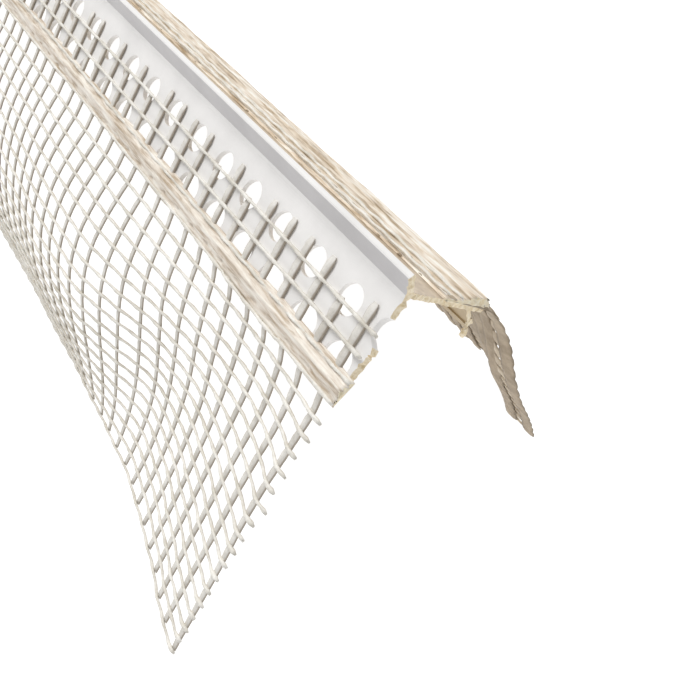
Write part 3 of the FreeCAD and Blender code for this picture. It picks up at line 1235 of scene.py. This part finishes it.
@dataclass
class Studio:
    """The pale floor, the soft light and the camera at the photograph's place, in metres."""

    camera_place: tuple[float, float, float] = (1.04577454, -0.04793174, 0.15226661)
    camera_turn: tuple[float, float, float] = (36.70415796, -2.05874439, 53.95950807)
    lens_mm: float = 32.4204
    sensor_mm: float = 36.0
    view_depth: tuple[float, float] = (0.002, 50.0)
    lamp_place: tuple[float, float, float] = (0.35, 0.02, 1.5)
    lamp_aim: tuple[float, float, float] = (0.85, 0.0, 0.05)
    lamp_side: float = 0.9
    lamp_watts: float = 17.5
    floor_reach: float = 6.0
    floor_drop: float = 0.0002
    floor_colour: str = "#8f8f8f"
    floor_glow: float = 0.93
    sky_strength: float = 0.46

    def camera(self) -> None:
        """Set the camera where the photograph was taken from."""
        data = bpy.data.cameras.new("studio_camera")
        data.sensor_width = self.sensor_mm
        data.lens = self.lens_mm
        data.clip_start, data.clip_end = self.view_depth
        item = bpy.data.objects.new("studio_camera", data)
        item.location = self.camera_place
        item.rotation_euler = Euler([math.radians(a) for a in self.camera_turn], "XYZ")
        bpy.context.scene.collection.objects.link(item)
        bpy.context.scene.camera = item

    def lamp(self) -> None:
        """Hang one large soft light over the moulding, turned to its near end."""
        data = bpy.data.lights.new("top_softbox", "AREA")
        data.size = self.lamp_side
        data.energy = self.lamp_watts
        item = bpy.data.objects.new("top_softbox", data)
        item.location = self.lamp_place
        aim = Vector(self.lamp_aim) - Vector(self.lamp_place)
        item.rotation_euler = aim.to_track_quat("-Z", "Y").to_euler()
        bpy.context.scene.collection.objects.link(item)

    def floor(self) -> None:
        """Lay a large plain floor just under the moulding; its glow keeps the ground white."""
        maker = MeshMaker("studio_floor")
        reach, z = self.floor_reach / MM, -self.floor_drop / MM
        corners = [(-reach, -reach, z), (reach, -reach, z), (reach, reach, z), (-reach, reach, z)]
        maker.add(np.array(corners), [(0, 1, 2, 3)])
        material = bpy.data.materials.new("matt_white_floor")
        material.use_nodes = True
        shader = material.node_tree.nodes["Principled BSDF"]
        shader.inputs["Base Color"].default_value = linear(self.floor_colour)
        shader.inputs["Roughness"].default_value = 0.9
        shader.inputs["Emission Color"].default_value = (1.0, 1.0, 1.0, 1.0)
        shader.inputs["Emission Strength"].default_value = self.floor_glow
        maker.piece([material], smooth=False)

    def build(self) -> None:
        """Set up the whole studio."""
        world = bpy.data.worlds.new("studio_sky")
        world.use_nodes = True
        sky = world.node_tree.nodes["Background"]
        sky.inputs["Color"].default_value = (1.0, 1.0, 1.0, 1.0)
        sky.inputs["Strength"].default_value = self.sky_strength
        bpy.context.scene.world = world
        bpy.context.scene.view_settings.view_transform = "Standard"
        self.floor()
        self.lamp()
        self.camera()


# ==== The whole moulding ====

LEFT_BAND = GlueBand(
    name="left_glue_band",
    side=Side.LEFT,
    finish=LEFT_GLUE,
    seed=5,
    crest_places=(16.7, 17.2, 17.8, 18.8, 19.8, 20.8, 21.6, 22.5),
    crest_heights=(0.1, 0.9, 0.9, 1.6, 1.5, 0.9, 0.8, 0.1),
    ridges=(Ridge(18.7, 0.5, 0.35),),
    pit_place=20.8,
    pit_depth=0.7,
    near_overrun=2.6,
)
RIGHT_BAND = GlueBand(
    name="right_glue_band",
    side=Side.RIGHT,
    finish=RIGHT_GLUE,
    seed=8,
    crest_places=(11.2, 11.8, 13.2, 14.4, 16.4, 18.0, 22.0, 26.0, 27.4, 27.9),
    crest_heights=(0.1, 0.5, 0.6, 0.6, 0.8, 1.2, 1.9, 1.8, 1.2, 0.1),
    ridges=(Ridge(20.9, 0.7, 0.4), Ridge(25.3, 0.7, 0.4)),
    pit_place=14.2,
    pit_depth=0.4,
)
LEFT_WING = MeshWing(
    name="left_mesh_wing",
    side=Side.LEFT,
    hang=LEFT_HANG,
    lap_top=4.8,
    lap_end=22.0,
    rests_on=("pvc_corner_profile_visual", "left_glue_band_visual"),
    seed=3,
    over_holes=True,
    lap_warps=(8.5, 13.0, 17.4, 21.9),
    hanging_warps=17,
    overrun_down=(8.5, 13.0, 17.0, 21.5, 98.5),
    end_overrun=(0.4, 1.7, 2.4, 2.5, 2.8),
    proud_warps=4,
    proud_rise=0.1,
    weft_skew_down=(5.0, 8.5, 13.0, 17.0, 22.0, 26.5, 44.0, 62.0, 98.5),
    weft_skew=(0.0, 0.3, 0.9, 1.5, 2.1, 2.7, 2.7, 3.6, 5.0),
)
# Seen along its length the right cloth looks closed, so its yarns are flattened wide
RIGHT_WING = MeshWing(
    name="right_mesh_wing",
    side=Side.RIGHT,
    hang=RIGHT_HANG,
    lap_top=11.5,
    lap_end=27.6,
    rests_on=("pvc_corner_profile_visual", "right_glue_band_visual"),
    seed=9,
    lap_warps=(11.9, 16.4, 20.9, 25.4),
    hanging_warps=16,
    overrun_down=(22.6, 27.1, 36.0, 44.0, 53.0, 61.0, 76.6, 98.6),
    end_overrun=(0.2, 0.6, 1.1, 2.6, 4.3, 5.6, 7.2, 9.6),
    proud_warps=2,
    proud_rise=0.4,
    warp_finish=TAN_SHADED_WARP_YARN,
    warp_half_width=1.85,
    twisted=False,
    weft_skew_down=(11.5, 27.1, 36.0, 44.0, 53.0, 61.0, 76.6, 98.6),
    weft_skew=(2.6, 3.0, 3.4, 4.9, 6.9, 8.4, 10.2, 11.8),
    weft_finish=TAN_SHADED_WEFT_YARN,
    weft_half_width=2.4,
    weft_lap_half_width=1.1,
)


def main() -> None:
    """Build, dress and report every piece of the corner guard moulding."""
    logging.basicConfig(level=logging.INFO, format="%(message)s")
    Studio().build()
    for part in (PvcAngle(), LEFT_BAND, RIGHT_BAND, LEFT_WING, RIGHT_WING):
        items = part.build()
        part.dress(items)
        for item in items:
            LOG.info("%s: %d faces", item.name, len(item.data.polygons))


if __name__ == "__main__":
    main()
